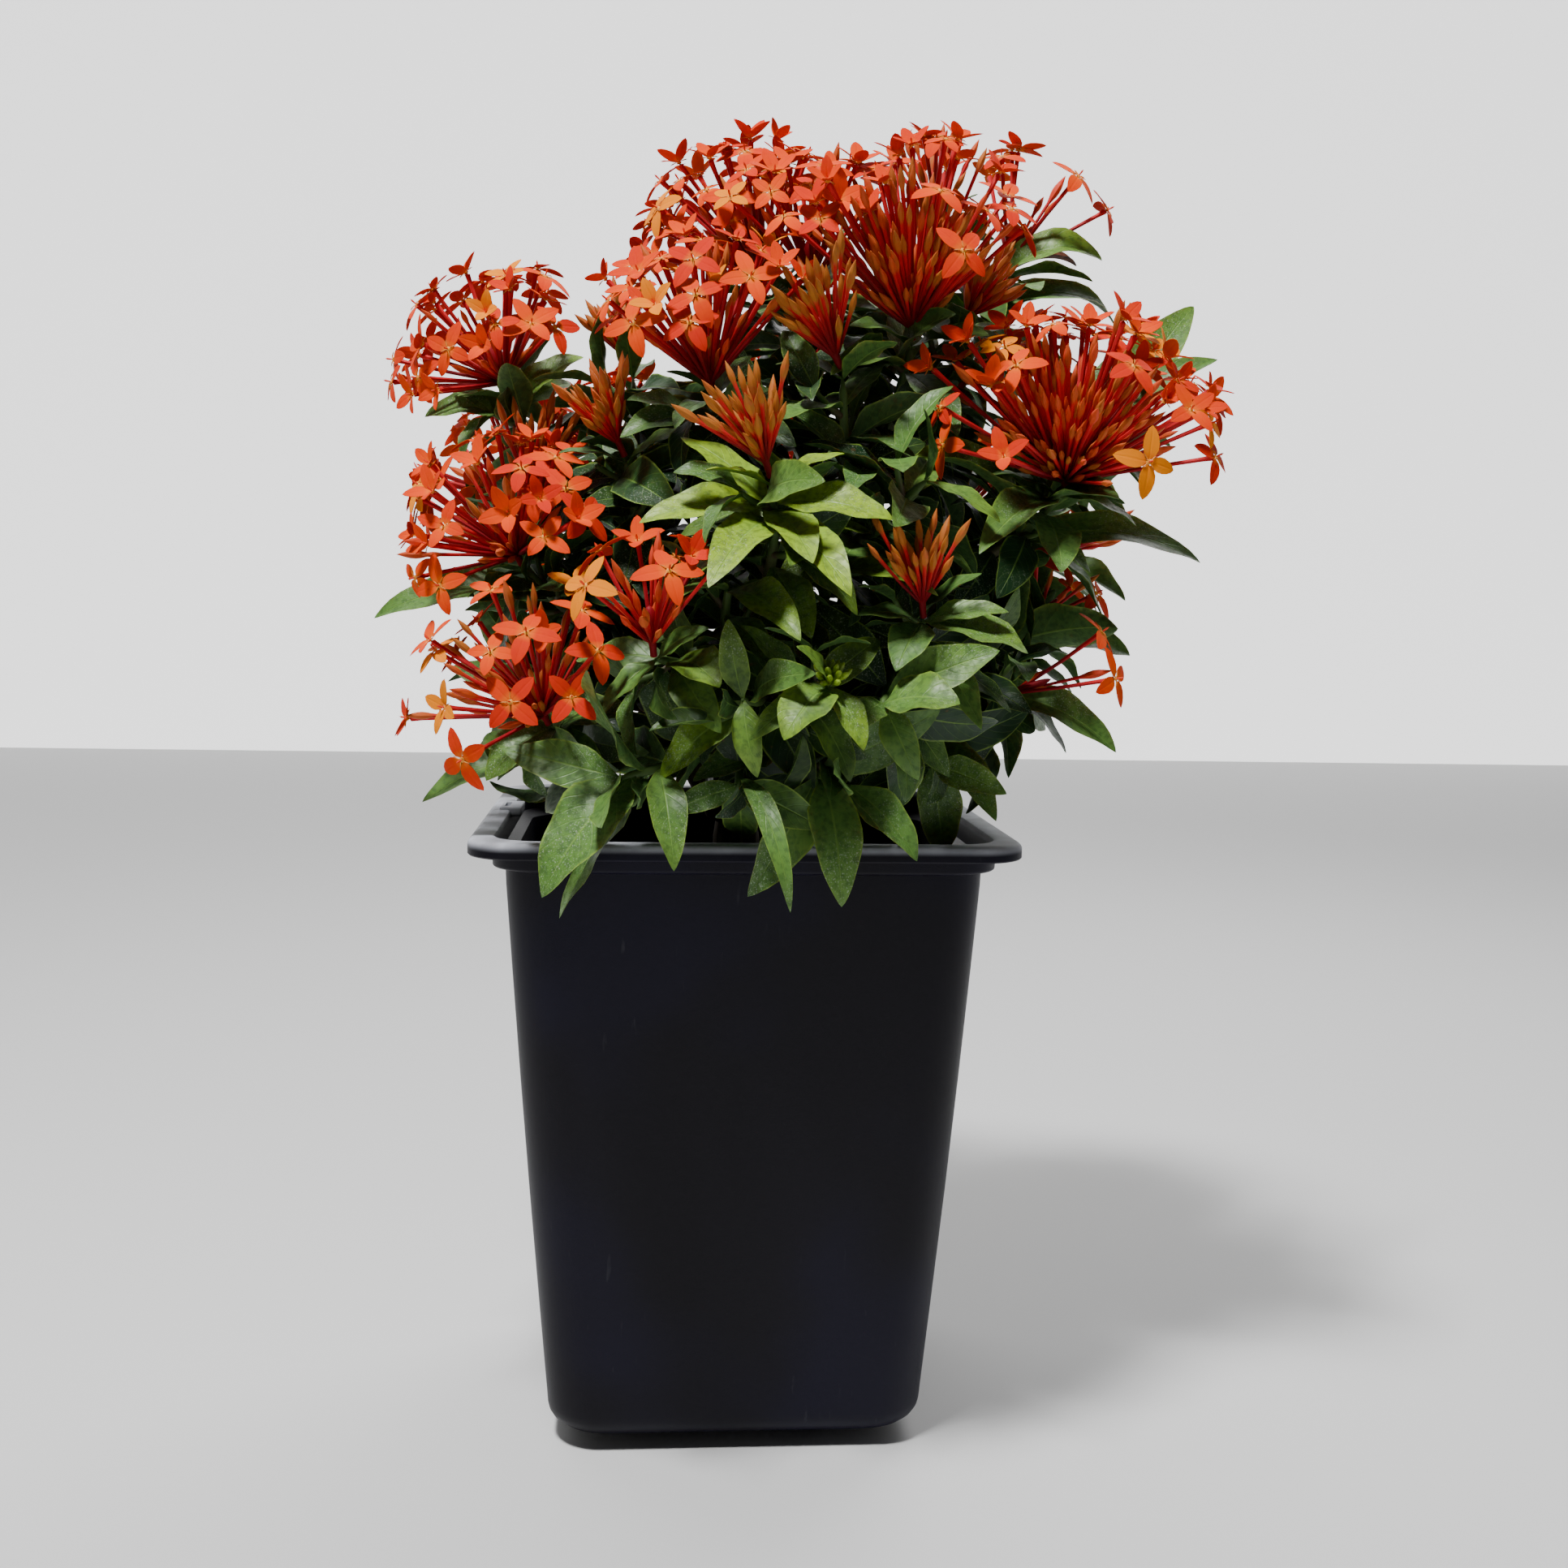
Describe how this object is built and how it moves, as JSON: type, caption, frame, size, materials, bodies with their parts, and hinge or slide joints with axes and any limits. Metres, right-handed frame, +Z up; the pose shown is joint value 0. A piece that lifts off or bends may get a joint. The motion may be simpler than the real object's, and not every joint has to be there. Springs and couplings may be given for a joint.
{
  "type": "potted ixora plant",
  "caption": "Free-standing ixora shrub with leafy stems and round heads of tubular four-petalled flowers, in a square tapered nursery pot.",
  "frame": {"origin": "on the ground, under the middle of the plant's outline seen from above; the pot's axis stands at x = -0.0227 m, y = -0.0003 m", "axes": "+Z up, the longest extent; front towards -Y; +X to the right seen from the front"},
  "size_m": [0.3354, 0.3352, 0.5688],
  "materials": {
    "pot": "black moulded plastic with a faint blue cast, semi-matte",
    "potting_mix": "dark crumbly peat and bark with a few white grains",
    "bark": "grey-brown bark, greener on young wood",
    "leaf": "leathery leaf, glossy above, paler veins and edge",
    "flower": "soft orange-red petals and deep red flower tubes"
  },
  "bodies": {
    "root": {"pot": "pot", "potting_mix": "potting_mix", "woody_stems": "bark", "flower_head_upper_left": "flower", "flower_head_left_buds": "flower", "flower_head_left": "flower", "flower_head_low_left": "flower", "flower_head_low_centre": "flower", "flower_head_mid_left": "flower", "flower_head_mid_left_2": "flower", "flower_head_centre_left": "flower", "flower_head_top_left": "flower", "flower_head_top_left_2": "flower", "flower_head_top_centre": "flower", "flower_head_top_centre_2": "flower", "flower_head_centre_buds": "flower", "flower_head_top_back": "flower", "flower_head_top_right": "flower", "flower_head_right": "flower", "flower_head_front_buds": "flower", "flower_head_low_right_buds": "flower", "flower_head_far_right": "flower", "flower_head_far_right_2": "flower", "flower_head_back_left": "flower", "flower_head_back_low_left": "flower", "flower_head_back_centre": "flower", "flower_head_back_top": "flower", "flower_head_back_low": "flower", "flower_head_back_right": "flower", "flower_head_right_side": "flower", "flower_head_back_upper_left": "flower", "leafy_stem_upper_left": "leaf", "leafy_stem_left_buds": "leaf", "leafy_stem_left": "leaf", "leafy_stem_low_left": "leaf", "leafy_stem_low_centre": "leaf", "leafy_stem_mid_left": "leaf", "leafy_stem_centre_left": "leaf", "leafy_stem_top_left": "leaf", "leafy_stem_top_centre": "leaf", "leafy_stem_centre_buds": "leaf", "leafy_stem_top_back": "leaf", "leafy_stem_top_right": "leaf", "leafy_stem_right": "leaf", "leafy_stem_front_buds": "leaf", "leafy_stem_low_right_buds": "leaf", "leafy_stem_far_right": "leaf", "leafy_stem_young_front": "leaf", "leafy_stem_low_front": "leaf", "leafy_stem_low_right": "leaf", "leafy_stem_back_left": "leaf", "leafy_stem_back_low_left": "leaf", "leafy_stem_back_centre": "leaf", "leafy_stem_back_top": "leaf", "leafy_stem_back_low": "leaf", "leafy_stem_back_right": "leaf", "leafy_stem_right_side": "leaf", "leafy_stem_back_upper_left": "leaf"}
  },
  "joints": []
}
